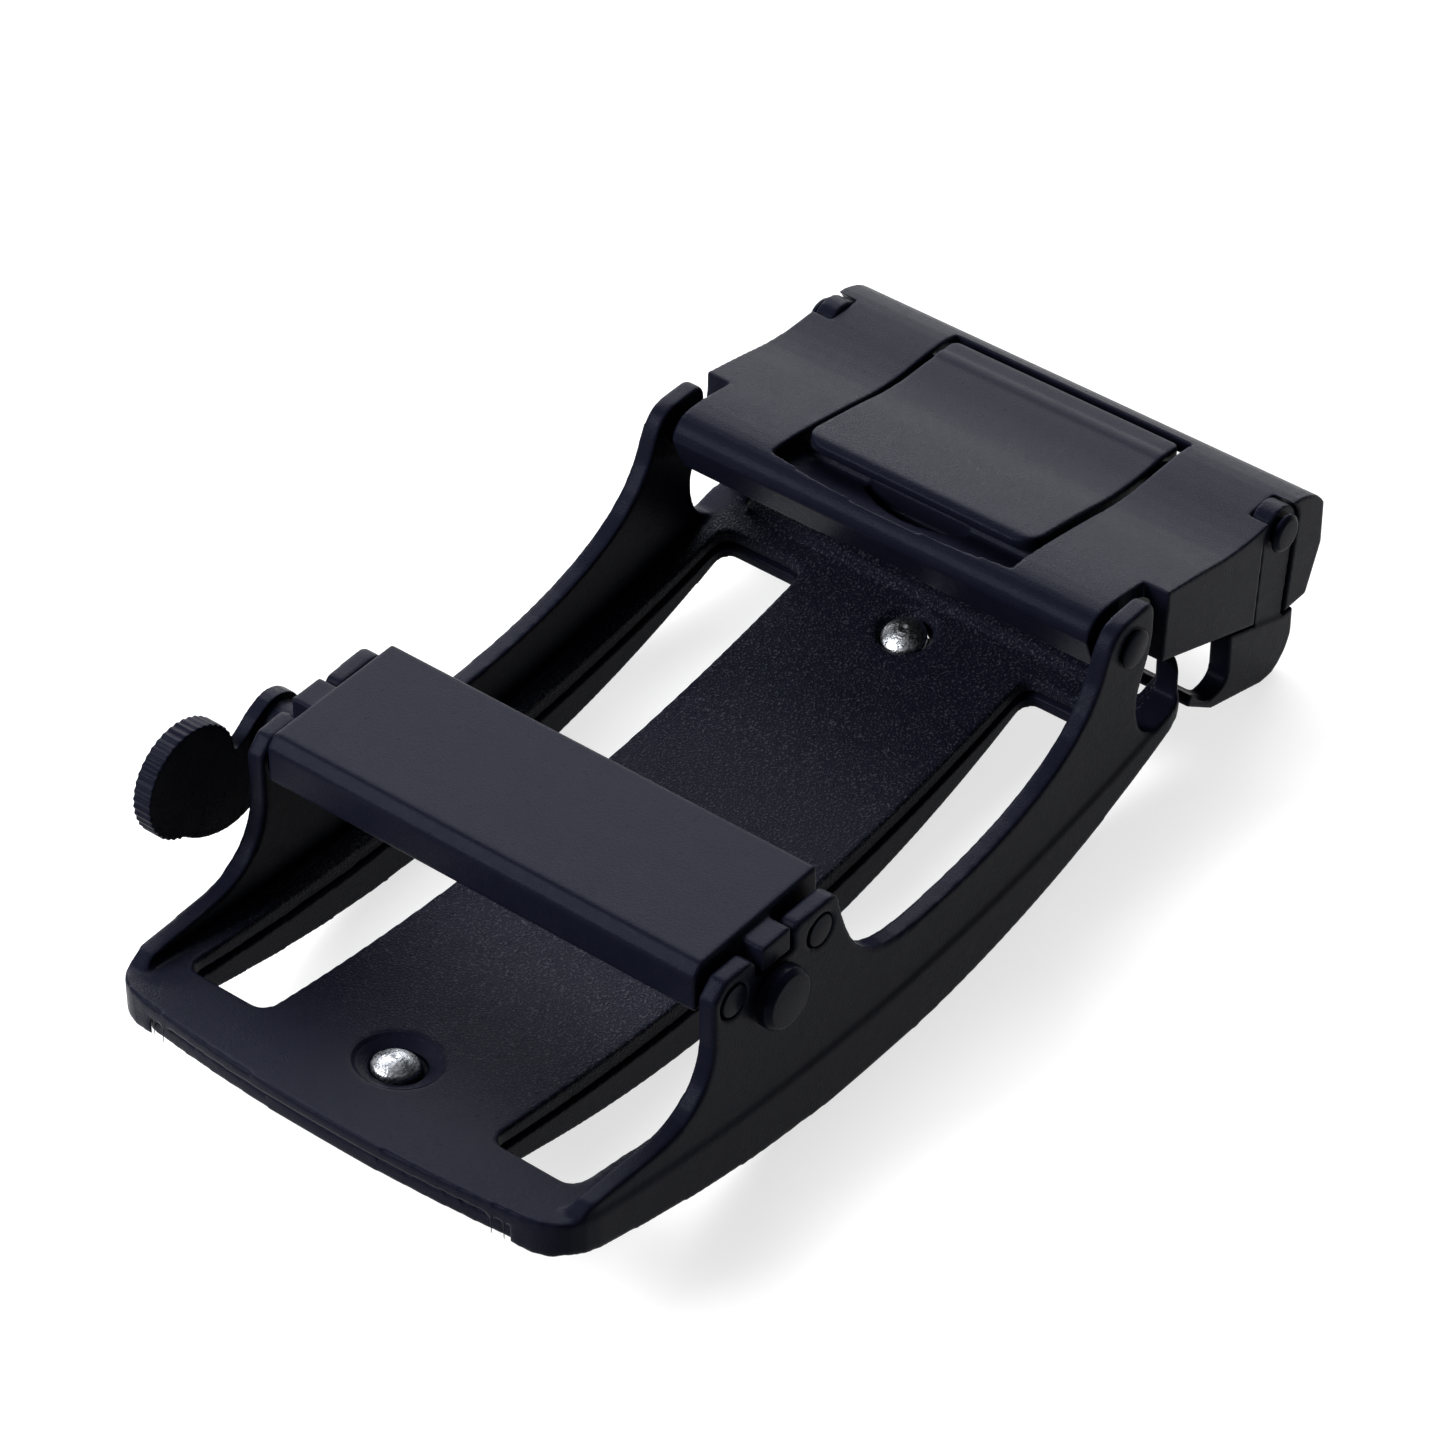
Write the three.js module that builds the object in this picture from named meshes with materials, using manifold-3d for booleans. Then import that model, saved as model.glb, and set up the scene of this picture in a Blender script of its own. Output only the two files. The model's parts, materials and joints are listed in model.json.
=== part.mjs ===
// Automatic ratchet belt buckle for a 35 mm strap, lying on its front face, seen from behind.
// Millimetres. +X runs from the lock end to the clamp end, +Y to the release lever's side, +Z up.
// The lowest point of the front's arc is the modelling origin; the last lines set the part down level.
import * as THREE from 'three';
import { mergeVertices } from 'three/addons/utils/BufferGeometryUtils.js';
import Module from 'manifold-3d';

const wasm = await Module();
wasm.setup();

// Clearances and overrun shared by every piece
const fitGap = 0.2;
const boreGap = 0.1;
const runGap = 0.3;
const overrun = 5;

// Frame in plan
const frameHalfWidth = 20;
const frameNearReach = 31.8;
const frameFarReach = 33.2;
const cornerPostStandoff = 2.4;
const cornerPostReach = frameFarReach + cornerPostStandoff;
const cornerPostInset = 3.1;
const cornerPostHalf = frameHalfWidth - cornerPostInset;
const cornerPostThickness = 1.4;
const cornerPostRound = 1.6;
const sideBowRadius = 1150;
const sideBowCentre = 15;
const nearEdgeRadius = 107;
const nearCornerRadius = 3.2;
const farCornerRadius = 2.7;

// Frame in side view: three arcs, front face, seat of the face plate, and floor
const frontArcRadius = 86;
const seatHeight = 3.2;
const seatArcRadius = frontArcRadius * 1.59;
const floorHeight = 4.7;
const floorArcRadius = frontArcRadius * 1.8;
const faceMinThickness = 0.5;

// Frame's walls and ears
const wallThickness = 1.4;
const wallInset = 0.15;
const rimRise = 1.3;
const earTop = 17.8;
const saddleTop = 16.0;
const saddleNearX = -11.8;
const saddleFarX = -8.1;
const wallDip = 9.4;
const swivelEarRadius = 2.5;
const cornerPostRise = 3.0;
const notchNearX = 29.0;
const notchWaistZ = 11.8;
const notchLowX = 32.2;
const notchLowZ = 7.75;
const strapSideRoom = 2.5;

// Slots and centre strip
const stripHalfWidth = 9.5;
const slotOuterInset = 3.1;
const slotNearInset = 5.9;
const slotFarInset = 2.6;
const slotNearReach = frameNearReach - slotNearInset;
const slotFarReach = frameFarReach - slotFarInset;
const slotCornerRadius = 1.3;

// Face plate
const faceSideInset = 2.2;
const faceHalfWidth = frameHalfWidth - faceSideInset;
const faceEdgeInset = 0.5;
const faceLedge = 0.15;

// Face plate's rivets
const rivetNearInset = 7.8;
const rivetFarInset = 3.8;
const rivetNearReach = frameNearReach - rivetNearInset;
const rivetFarReach = frameFarReach - rivetFarInset;
const rivetShankRadius = 1.5;
const rivetDomeRadius = 2.1;
const rivetDomeHeight = 0.8;
const rivetFootRadius = 2.2;
const rivetFootThickness = 0.5;

// Lock: pins, shaft and bridge, as places from the modelling origin
const nearPinX = -13.9;
const farPinX = -5.4;
const lockPinZ = 15.7;
const lockPinRadius = 0.9;
const lockPinHeadRadius = 1.15;
const lockPinHeadLength = 1.2;
const shaftX = -10.1;
const shaftZ = 13.8;
const shaftRadius = 1.1;
const shaftFlat = 0.6;
const shaftHeadRadius = 2.25;
const shaftHeadThickness = 1.2;
const bridgeTop = 18.6;
const bridgeNearX = -15.7;
const bridgeFarX = -3.3;
const bridgeUnderside = 15.0;
const bridgeTopThickness = 1.1;
const bridgeRibWidth = 3.1;
const bridgeEndInset = 2.3;
const bridgeHalfLength = frameHalfWidth - bridgeEndInset;
const bridgeEndBlock = 2.8;
const bridgeBevel = 0.8;
const bridgeTabDrop = 0.5;

// Pawl and its spring
const pawlThickness = 1.0;
const pawlToothThickness = 0.9;
const pawlToothHalf = 6;
const pawlToothTip = 12.3;
const pawlBarrelRadius = 1.45;
const springThickness = 0.2;
const springHalfWidth = 5;

// Release lever
const leverStandoff = 2;
const leverInnerY = frameHalfWidth + leverStandoff;
const leverThickness = 1.05;
const discThickness = 1.5;
const discRadius = 4.2;
const discOffsetX = 8.2;
const discOffsetZ = 0.5;
const hubRadius = 2.4;
const bossRadius = 1.8;
const knurlTeeth = 42;
const knurlDepth = 0.14;

// Clamp: swivel pin, cam pin and cover
const swivelX = 28.0;
const swivelZ = 17.2;
const swivelPinRadius = 1.1;
const swivelPinHeadRadius = 1.45;
const swivelPinHeadRise = 0.3;
const swivelPinLength = 5.2;
const camPinX = 45.7;
const camPinZ = 15.9;
const camPinRadius = 0.9;
const camPinHeadRadius = 1.45;
const camPinHeadThickness = 0.5;
const coverNearX = 25.8;
const coverLength = 25.2;
const coverRise = 2.4;
const coverSideInset = 0.4;
const coverHalfWidth = frameHalfWidth - coverSideInset;
const coverNeckInset = 2.4;
const coverNeckHalf = frameHalfWidth - coverNeckInset;
const coverWall = 1.5;
const coverTopThickness = 1.3;
const coverNearBottomX = 26.9;
const coverNearBottomZ = 15.1;
const seamFarX = 46.5;
const seamFarZ = 8.1;
const coverChamferX = 49.5;
const coverSideStartX = 32.2;
const farStripWidth = 2.4;
const windowNearX = 27.5;
const windowBow = 0.7;
const bossFarX = 30.6;

// Clamp base and keeper loop
const basePlateThickness = 1.3;
const basePlateNearX = bossFarX + runGap;
const basePlateFarX = 48.6;
const cheekThickness = 1.7;
const earStripRadius = 1.9;
const earStripHalf = 1.6;
const cheekInset = 0.15;
const keeperTipX = 35.4;
const keeperTipZ = 7.1;
const keeperBarFarX = 38.2;
const keeperBandThickness = 0.9;
const keeperLegX = 40.2;
const keeperLegZ = 7.0;
const keeperHollowX = 38.4;
const keeperHollowZ = 5.9;
const keeperLowX = 45.0;
const keeperLowZ = 3.2;

// Cam lever
const paddleHalf = 9.7;
const windowSideGap = 0.4;
const windowHalf = paddleHalf + windowSideGap;
const paddleNearX = 30.2;
const paddleFarReach = 2.3;
const paddleThickness = 1.3;
const paddleCorner = 1.0;
const paddleProud = 0.25;
const camBarrelRadius = 1.7;
const camReach = 2.9;
const camToothDepth = 0.45;
const camToothCount = 3;

// Facet counts
const arcSteps = 28;
const roundSides = 24;
const cornerSteps = 5;
const sweepSteps = 9;

// Closed solids from geometries, and back
function solid(geometry) {
  const bare = geometry.clone();
  bare.deleteAttribute('normal');
  bare.deleteAttribute('uv');
  const merged = mergeVertices(bare, 1e-5);
  const mesh = new wasm.Mesh({
    numProp: 3,
    vertProperties: new Float32Array(merged.attributes.position.array),
    triVerts: new Uint32Array(merged.index.array),
  });
  return new wasm.Manifold(mesh);
}

function geometryOf(body) {
  const mesh = body.getMesh();
  const geometry = new THREE.BufferGeometry();
  geometry.setAttribute('position', new THREE.BufferAttribute(new Float32Array(mesh.vertProperties), 3));
  geometry.setIndex(new THREE.BufferAttribute(new Uint32Array(mesh.triVerts), 1));
  geometry.computeVertexNormals();
  return geometry;
}

function union(bodies) {
  return bodies.reduce((whole, body) => whole.add(body));
}

function without(body, cutters) {
  return cutters.reduce((left, cutter) => left.subtract(cutter), body);
}

// A shape drawn in X and Z, extruded along Y
function acrossY(shape, yFrom, yTo) {
  const settings = { depth: yTo - yFrom, bevelEnabled: false, curveSegments: cornerSteps };
  const geometry = new THREE.ExtrudeGeometry(shape, settings);
  geometry.rotateX(Math.PI / 2);
  geometry.translate(0, yTo, 0);
  return solid(geometry);
}

// A shape drawn in X and Y, extruded along Z
function upZ(shape, zFrom, zTo) {
  const settings = { depth: zTo - zFrom, bevelEnabled: false, curveSegments: cornerSteps };
  const geometry = new THREE.ExtrudeGeometry(shape, settings);
  geometry.translate(0, 0, zFrom);
  return solid(geometry);
}

function box(xFrom, xTo, yFrom, yTo, zFrom, zTo) {
  const geometry = new THREE.BoxGeometry(xTo - xFrom, yTo - yFrom, zTo - zFrom);
  geometry.translate((xFrom + xTo) / 2, (yFrom + yTo) / 2, (zFrom + zTo) / 2);
  return solid(geometry);
}

// The same body on both sides of the plane of symmetry
function bothSides(make) {
  return union([make(1), make(-1)]);
}

// A round bar along Y at x, z
function rod(x, z, radius, yFrom, yTo) {
  const geometry = new THREE.CylinderGeometry(radius, radius, yTo - yFrom, roundSides);
  geometry.translate(x, (yFrom + yTo) / 2, z);
  return solid(geometry);
}

function sideRod(side, x, z, radius, yFrom, yTo) {
  return side > 0 ? rod(x, z, radius, yFrom, yTo) : rod(x, z, radius, -yTo, -yFrom);
}

function sideBox(side, xFrom, xTo, yFrom, yTo, zFrom, zTo) {
  return side > 0 ? box(xFrom, xTo, yFrom, yTo, zFrom, zTo) : box(xFrom, xTo, -yTo, -yFrom, zFrom, zTo);
}

function sideAcross(side, shape, yFrom, yTo) {
  return side > 0 ? acrossY(shape, yFrom, yTo) : acrossY(shape, -yTo, -yFrom);
}

// A turned body from its radius and height pairs, standing on Z
function turned(profile) {
  const geometry = new THREE.LatheGeometry(profile.map(([r, h]) => new THREE.Vector2(r, h)), roundSides);
  geometry.rotateX(Math.PI / 2);
  return solid(geometry);
}

// A turned body laid along Y, its height axis pointing to +Y
function turnedAcross(profile, x, z) {
  const geometry = new THREE.LatheGeometry(profile.map(([r, h]) => new THREE.Vector2(r, h)), roundSides);
  geometry.translate(x, 0, z);
  return solid(geometry);
}

function polygon(points) {
  return new THREE.Shape(points.map(([x, y]) => new THREE.Vector2(x, y)));
}

// Outline through corners, each rounded by its radius, as points
function rounded(corners) {
  const path = new THREE.Path();
  corners.forEach(([x, y, radius], i) => {
    const here = new THREE.Vector2(x, y);
    const before = new THREE.Vector2(...corners[(i + corners.length - 1) % corners.length]);
    const after = new THREE.Vector2(...corners[(i + 1) % corners.length]);
    const entry = here.clone().add(before.sub(here).setLength(radius));
    const leave = here.clone().add(after.sub(here).setLength(radius));
    if (i === 0) {
      path.moveTo(entry.x, entry.y);
    } else {
      path.lineTo(entry.x, entry.y);
    }
    if (radius) {
      path.quadraticCurveTo(here.x, here.y, leave.x, leave.y);
    }
  });
  return new THREE.Shape(path.getPoints(cornerSteps));
}

// The three arcs of the side view
function arc(low, radius) {
  return (x) => low + radius - Math.sqrt(radius * radius - x * x);
}

const frontArc = arc(0, frontArcRadius);
const seatArc = arc(seatHeight, seatArcRadius);
const floorArc = arc(floorHeight, floorArcRadius);

// Slab between two curves of x, across the whole width
function slab(upper, lower, halfWidth) {
  const from = -frameNearReach - runGap;
  const to = cornerPostReach + runGap;
  const xs = Array.from({ length: arcSteps + 1 }, (_, i) => from + ((to - from) * i) / arcSteps);
  const points = xs.map((x) => [x, lower(x)]).concat(xs.reverse().map((x) => [x, upper(x)]));
  return acrossY(polygon(points), -halfWidth, halfWidth);
}

// Half-width of the bowed sides at x
function sideAt(x) {
  return frameHalfWidth - (x - sideBowCentre) ** 2 / (2 * sideBowRadius);
}

// Frame's plan, drawn inwards by an inset, with its far edge moved by another
function planShape(inset, farShift, cornerShift) {
  const nearCorner = nearCornerRadius - cornerShift;
  const farCorner = farCornerRadius - cornerShift;
  const nearMid = -frameNearReach + inset;
  const nearAt = (y) => nearMid + (y * y) / (2 * nearEdgeRadius);
  const farX = cornerPostReach + farShift;
  const side = (x) => sideAt(x) - inset;
  const cornerX = nearAt(side(-frameNearReach));
  const sideFrom = cornerX + nearCorner;
  const sideTo = farX - farCorner;
  const sideXs = Array.from({ length: arcSteps / 2 + 1 }, (_, i) =>
    sideFrom + ((sideTo - sideFrom) * i * 2) / arcSteps);
  const edgeHalf = side(cornerX) - nearCorner;
  const edgeYs = Array.from({ length: arcSteps / 2 + 1 }, (_, i) => edgeHalf - (edgeHalf * i * 4) / arcSteps);
  const path = new THREE.Path();
  path.moveTo(sideXs[0], -side(sideXs[0]));
  sideXs.slice(1).forEach((x) => path.lineTo(x, -side(x)));
  path.quadraticCurveTo(farX, -side(farX), farX, -side(farX) + farCorner);
  path.lineTo(farX, side(farX) - farCorner);
  path.quadraticCurveTo(farX, side(farX), sideTo, side(sideTo));
  sideXs.slice(0, -1).reverse().forEach((x) => path.lineTo(x, side(x)));
  path.quadraticCurveTo(cornerX, side(cornerX), nearAt(edgeYs[0]), edgeYs[0]);
  edgeYs.slice(1).forEach((y) => path.lineTo(nearAt(y), y));
  path.quadraticCurveTo(cornerX, -side(cornerX), sideXs[0], -side(sideXs[0]));
  return new THREE.Shape(path.getPoints(cornerSteps));
}

// A slot's plan, its outer edge bowed with the side of the frame
function slotShape(side, ledge) {
  const from = -slotNearReach + ledge;
  const to = slotFarReach - ledge;
  const inner = stripHalfWidth + ledge;
  const r = slotCornerRadius;
  const outerAt = (x) => sideAt(x) - slotOuterInset - ledge;
  const steps = arcSteps / 2;
  const bow = Array.from({ length: steps - 1 }, (_, i) => to + ((from - to) * (i + 1)) / steps);
  const edge = bow.map((x) => [x, side * outerAt(x), 0]);
  return rounded([[from, side * inner, r], [to, side * inner, r], [to, side * outerAt(to), r], ...edge,
    [from, side * outerAt(from), r]]);
}

// Side view of a wall, from the low near rim over three ears to the corner post
function wallShape() {
  const rimNear = -frameNearReach + nearCornerRadius;
  const rimZ = floorArc(rimNear) + rimRise / 2;
  const earReach = bridgeNearX - wallInset;
  const sweep = earTop - rimZ;
  const nearEarFar = saddleNearX;
  const midEarNear = saddleFarX;
  const midEarFar = bridgeFarX - fitGap;
  const round = lockPinHeadRadius;
  const base = -overrun;
  const dipX = (farPinX + swivelX) * 0.2;
  const span = swivelX - dipX;
  const lift = swivelZ - wallDip;
  const earNear = swivelX - swivelEarRadius;
  const earFar = swivelX + swivelEarRadius;
  const earTopZ = swivelZ + swivelEarRadius;
  const farX = cornerPostReach + overrun;
  const postTop = floorArc(frameFarReach) + cornerPostRise;
  const postNearX = cornerPostReach - cornerPostThickness;
  const wall = new THREE.Shape();
  wall.moveTo(rimNear, base);
  wall.lineTo(rimNear, floorArc(rimNear));
  wall.lineTo(rimNear + rimRise, rimZ);
  wall.lineTo(earReach - sweep * 0.6, rimZ);
  wall.bezierCurveTo(earReach - sweep * 0.25, rimZ, earReach - sweep * 0.04, rimZ + sweep * 0.16,
    earReach, rimZ + sweep * 0.5);
  wall.lineTo(earReach, earTop - round);
  wall.lineTo(earReach + round, earTop);
  wall.lineTo(nearEarFar - round * 0.4, earTop);
  wall.lineTo(nearEarFar, earTop - round * 0.4);
  wall.lineTo(nearEarFar, saddleTop);
  wall.lineTo(midEarNear, saddleTop);
  wall.lineTo(midEarNear, earTop - round * 0.4);
  wall.lineTo(midEarNear + round * 0.4, earTop);
  wall.lineTo(midEarFar - round, earTop);
  wall.quadraticCurveTo(midEarFar, earTop, midEarFar, earTop - round);
  wall.bezierCurveTo(midEarFar + round, wallDip + lift * 0.4, dipX - span * 0.25, wallDip, dipX, wallDip);
  wall.bezierCurveTo(dipX + span * 0.35, wallDip, swivelX - span * 0.27, wallDip + lift * 0.2,
    earNear - span * 0.05, wallDip + lift * 0.84);
  wall.bezierCurveTo(earNear - span * 0.01, swivelZ + swivelEarRadius * 0.3, earNear, earTopZ,
    earNear + swivelEarRadius * 0.8, earTopZ);
  wall.lineTo(earFar - swivelEarRadius * 0.4, earTopZ);
  wall.quadraticCurveTo(earFar, earTopZ, earFar, earTopZ - swivelEarRadius * 0.5);
  wall.lineTo(earFar, swivelZ);
  wall.bezierCurveTo(earFar, swivelZ - lift * 0.28,
    notchNearX, notchWaistZ + lift * 0.18, notchNearX, notchWaistZ);
  wall.bezierCurveTo(notchNearX, notchLowZ + rimRise, notchNearX + rimRise, notchLowZ, notchLowX, notchLowZ);
  wall.quadraticCurveTo(postNearX, notchLowZ, postNearX, notchLowZ + rimRise);
  wall.lineTo(postNearX, postTop);
  wall.lineTo(farX, postTop);
  wall.lineTo(farX, base);
  return polygon(wall.getPoints(sweepSteps).map((p) => [p.x, p.y]));
}

function sleeve(x, z, radius, from, to) {
  return bothSides((side) => sideRod(side, x, z, radius, from, to));
}

function frameBody() {
  const plan = upZ(planShape(0, 0, 0), -overrun, swivelZ + overrun);
  const tailRoom = box(frameFarReach, cornerPostReach + overrun, -cornerPostHalf, cornerPostHalf, -overrun * 2,
    swivelZ + overrun);
  const plate = slab(floorArc, frontArc, frameHalfWidth + overrun).intersect(plan).subtract(tailRoom);
  const recessFrom = -frameNearReach - overrun;
  const recessTo = frameFarReach + overrun;
  const half = faceHalfWidth + fitGap;
  const recess = slab(seatArc, () => -overrun, half)
    .intersect(box(recessFrom, recessTo, -half, half, -overrun, swivelZ));
  const slots = bothSides((side) => upZ(slotShape(side, 0), -overrun, swivelZ));
  const outer = upZ(planShape(wallInset, -wallInset, wallInset), -overrun, swivelZ + overrun);
  const inner = upZ(planShape(wallInset + wallThickness, -wallInset - wallThickness, wallInset + wallThickness),
    -overrun * 2, swivelZ + overrun * 2);
  const strapHalf = frameHalfWidth - strapSideRoom;
  const strapRoom = box(0, cornerPostReach + overrun, -strapHalf, strapHalf, -overrun * 2, swivelZ + overrun);
  const nearRoom = box(-frameNearReach - overrun, -frameNearReach + nearCornerRadius, -frameHalfWidth,
    frameHalfWidth, -overrun * 2, swivelZ + overrun);
  const ring = without(outer, [inner, strapRoom, nearRoom]);
  const profile = acrossY(wallShape(), -frameHalfWidth - overrun, frameHalfWidth + overrun);
  const above = slab((x) => swivelZ + overrun * 2, (x) => (seatArc(x) + floorArc(x)) / 2,
    frameHalfWidth + overrun);
  const walls = without(ring.intersect(profile).intersect(above), [bothSides(postShoulder)]);
  const holeFrom = strapHalf - overrun;
  const holeTo = frameHalfWidth + overrun;
  const rivetHoles = [-rivetNearReach, rivetFarReach].map((x) => {
    const z = floorArc(x);
    const countersink = rivetDomeRadius - rivetShankRadius;
    return turned([[0, seatHeight - overrun], [rivetShankRadius + fitGap, seatHeight - overrun],
      [rivetShankRadius + fitGap, z - countersink], [rivetDomeRadius + fitGap, z],
      [rivetDomeRadius + fitGap, z + overrun], [0, z + overrun]]).translate([x, 0, 0]);
  });
  return without(plate.add(walls), [
    recess,
    slots,
    ...rivetHoles,
    sleeve(nearPinX, lockPinZ, lockPinHeadRadius + boreGap, holeFrom, holeTo),
    sleeve(farPinX, lockPinZ, lockPinHeadRadius + boreGap, holeFrom, holeTo),
    sleeve(shaftX, shaftZ, shaftRadius + boreGap, holeFrom, holeTo),
    sleeve(swivelX, swivelZ, swivelPinRadius + boreGap, holeFrom, holeTo),
  ]);
}

// What the round on a corner post's outer shoulder takes away
function postShoulder(side) {
  const z = floorArc(frameFarReach) + cornerPostRise - cornerPostRound;
  const y = side * (frameHalfWidth - wallInset - cornerPostRound);
  const from = cornerPostReach - cornerPostThickness - runGap;
  const length = cornerPostThickness + overrun;
  const bar = new THREE.CylinderGeometry(cornerPostRound, cornerPostRound, length * 2, roundSides);
  bar.rotateZ(Math.PI / 2);
  bar.translate(from + length / 2, y, z);
  const corner = sideBox(side, from, from + length, Math.abs(y), frameHalfWidth + overrun, z, z + overrun);
  return corner.subtract(solid(bar));
}

function facePlateBody() {
  const plan = upZ(planShape(faceEdgeInset, 0, 0), -overrun, swivelZ);
  const band = box(-frameNearReach, frameFarReach - faceEdgeInset, -faceHalfWidth, faceHalfWidth, -overrun,
    swivelZ);
  const back = (x) => seatArc(x) - fitGap;
  const front = (x) => Math.min(frontArc(x), back(x) - faceMinThickness);
  const plate = slab(back, front, frameHalfWidth).intersect(plan).intersect(band);
  const slots = bothSides((side) => upZ(slotShape(side, faceLedge), -overrun, swivelZ));
  const pockets = [-rivetNearReach, rivetFarReach].map((x) => {
    const depth = rivetFootThickness + fitGap;
    const z = seatArc(x) - fitGap * 2 - depth;
    const reach = rivetFootRadius + fitGap;
    return turned([[0, z], [reach, z], [reach, z + overrun], [0, z + overrun]]).translate([x, 0, 0]);
  });
  return without(plate, [slots, ...pockets]);
}

function rivetBody(x) {
  const foot = seatArc(x) - fitGap * 2 - rivetFootThickness;
  const lip = floorArc(x);
  const countersink = rivetDomeRadius - rivetShankRadius;
  const domeSteps = [0.9, 0.66, 0.36, 0.12];
  const domeRise = (share) => lip + rivetDomeHeight * Math.sqrt(1 - share * share);
  const dome = domeSteps.map((share) => [rivetDomeRadius * share, domeRise(share)]);
  return turned([[0, foot], [rivetFootRadius, foot], [rivetFootRadius, foot + rivetFootThickness],
    [rivetShankRadius, foot + rivetFootThickness], [rivetShankRadius, lip - countersink],
    [rivetDomeRadius, lip], ...dome, [0, lip + rivetDomeHeight]]).translate([x, 0, 0]);
}

// Pin through both walls with a wider end in each ear
function lockPinBody(x) {
  const end = sideAt(x) - wallInset;
  const step = end - lockPinHeadLength;
  return turnedAcross([[0, -end], [lockPinHeadRadius, -end], [lockPinHeadRadius, -step], [lockPinRadius, -step],
    [lockPinRadius, step], [lockPinHeadRadius, step], [lockPinHeadRadius, end], [0, end]], x, lockPinZ);
}

function bridgeBody() {
  const ceiling = bridgeTop - bridgeTopThickness;
  const top = bridgeTop;
  const near = bridgeNearX;
  const section = polygon([[near, bridgeUnderside], [bridgeFarX, bridgeUnderside], [bridgeFarX, top],
    [near + bridgeBevel, top], [near, top - bridgeBevel]]);
  const bar = acrossY(section, -bridgeHalfLength, bridgeHalfLength);
  const tabNear = saddleNearX + runGap * 2;
  const tabFar = saddleFarX - runGap;
  const tabEnd = sideAt(shaftX) - wallInset;
  const tabs = bothSides((side) => sideBox(side, tabNear, tabFar, bridgeHalfLength - overrun, tabEnd,
    saddleTop + fitGap, top - bridgeTabDrop));
  const cavityHalf = bridgeHalfLength - bridgeEndBlock;
  const cavity = box(near + bridgeRibWidth, bridgeFarX + overrun, -cavityHalf, cavityHalf,
    bridgeUnderside - overrun, ceiling);
  const holeEnd = bridgeHalfLength + overrun;
  return without(bar.add(tabs), [
    cavity,
    rod(nearPinX, lockPinZ, lockPinRadius + boreGap, -holeEnd, holeEnd),
    rod(farPinX, lockPinZ, lockPinRadius + boreGap, -holeEnd, holeEnd),
    bothSides((side) => sideRod(side, nearPinX, lockPinZ, lockPinHeadRadius + boreGap,
      sideAt(nearPinX) - wallInset - lockPinHeadLength - fitGap, holeEnd)),
    bothSides((side) => sideRod(side, farPinX, lockPinZ, lockPinHeadRadius + boreGap,
      sideAt(farPinX) - wallInset - lockPinHeadLength - fitGap, holeEnd)),
  ]);
}

// Plate on a barrel, with the tooth edge that drops in front of the release shaft
function pawlBody() {
  const half = bridgeHalfLength - bridgeEndBlock - runGap;
  const plateLow = shaftZ + shaftRadius + runGap;
  const nearX = bridgeNearX + bridgeRibWidth + runGap;
  const toothBack = nearX + pawlToothThickness;
  const shoulderZ = shaftZ;
  const barrel = rod(farPinX, lockPinZ, pawlBarrelRadius, -half, half);
  const plate = box(nearX, farPinX, -half, half, plateLow, plateLow + pawlThickness);
  const skirt = box(nearX, toothBack, -half, half, shoulderZ, plateLow + pawlThickness);
  const tooth = polygon([[nearX, pawlToothTip], [toothBack, shoulderZ], [toothBack, plateLow + pawlThickness],
    [nearX, plateLow + pawlThickness]]);
  const follower = box(shaftX - shaftRadius, shaftX + shaftRadius, -pawlToothHalf, pawlToothHalf,
    shaftZ + shaftFlat + runGap, plateLow + pawlThickness);
  return without(union([barrel, plate, skirt, follower, acrossY(tooth, -pawlToothHalf, pawlToothHalf)]), [
    rod(farPinX, lockPinZ, lockPinRadius + boreGap, -half - overrun, half + overrun),
  ]);
}

// Bowed leaf between the bridge's ceiling and the pawl
function springBody() {
  const ceiling = bridgeTop - bridgeTopThickness - fitGap / 2;
  const pawlTop = shaftZ + shaftRadius + runGap + pawlThickness + fitGap / 2;
  const from = bridgeNearX + bridgeRibWidth + pawlToothThickness;
  const to = farPinX - pawlBarrelRadius;
  const rise = ceiling - springThickness - pawlTop;
  const bow = (t) => pawlTop + rise * Math.sin(Math.PI * t);
  const ts = Array.from({ length: roundSides / 2 + 1 }, (_, i) => (i * 2) / roundSides);
  const lower = ts.map((t) => [from + (to - from) * t, bow(t)]);
  const upper = ts.map((t) => [from + (to - from) * t, bow(t) + springThickness]).reverse();
  return acrossY(polygon(lower.concat(upper)), -springHalfWidth, springHalfWidth);
}

function shaftBody() {
  const wallFace = sideAt(shaftX) - wallInset;
  const headInner = -wallFace - fitGap;
  const headOuter = headInner - shaftHeadThickness;
  const tip = leverInnerY + leverThickness;
  const body = turnedAcross([[0, headOuter], [shaftHeadRadius * 0.86, headOuter],
    [shaftHeadRadius, headOuter + shaftHeadThickness * 0.35], [shaftHeadRadius, headInner],
    [shaftRadius, headInner], [shaftRadius, tip], [0, tip]], shaftX, shaftZ);
  const flat = box(shaftX - overrun, shaftX + overrun, -pawlToothHalf - runGap, pawlToothHalf + runGap,
    shaftZ + shaftFlat, shaftZ + overrun);
  return body.subtract(flat);
}

// The lever's outline round the shaft, in shares of its disc's radius: hub, thumb side, underside
const leverOutlineShares = [[0.28, 0.5], [0, 0.57], [-0.38, 0.45], [-0.7, 0.22], [-0.95, 0.12], [-1.12, 0.26],
  [-1.24, 0.55], [-1.5, 0.85], [-1.9, 1.02], [-2.4, 0.9], [-2.75, 0.3], [-2.6, -0.4], [-2.2, -0.85],
  [-1.75, -1.15],
  [-1.2, -1.3], [-0.7, -1.22], [-0.25, -0.98], [0.2, -0.62], [0.5, -0.3], [0.56, 0], [0.48, 0.32]];

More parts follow.
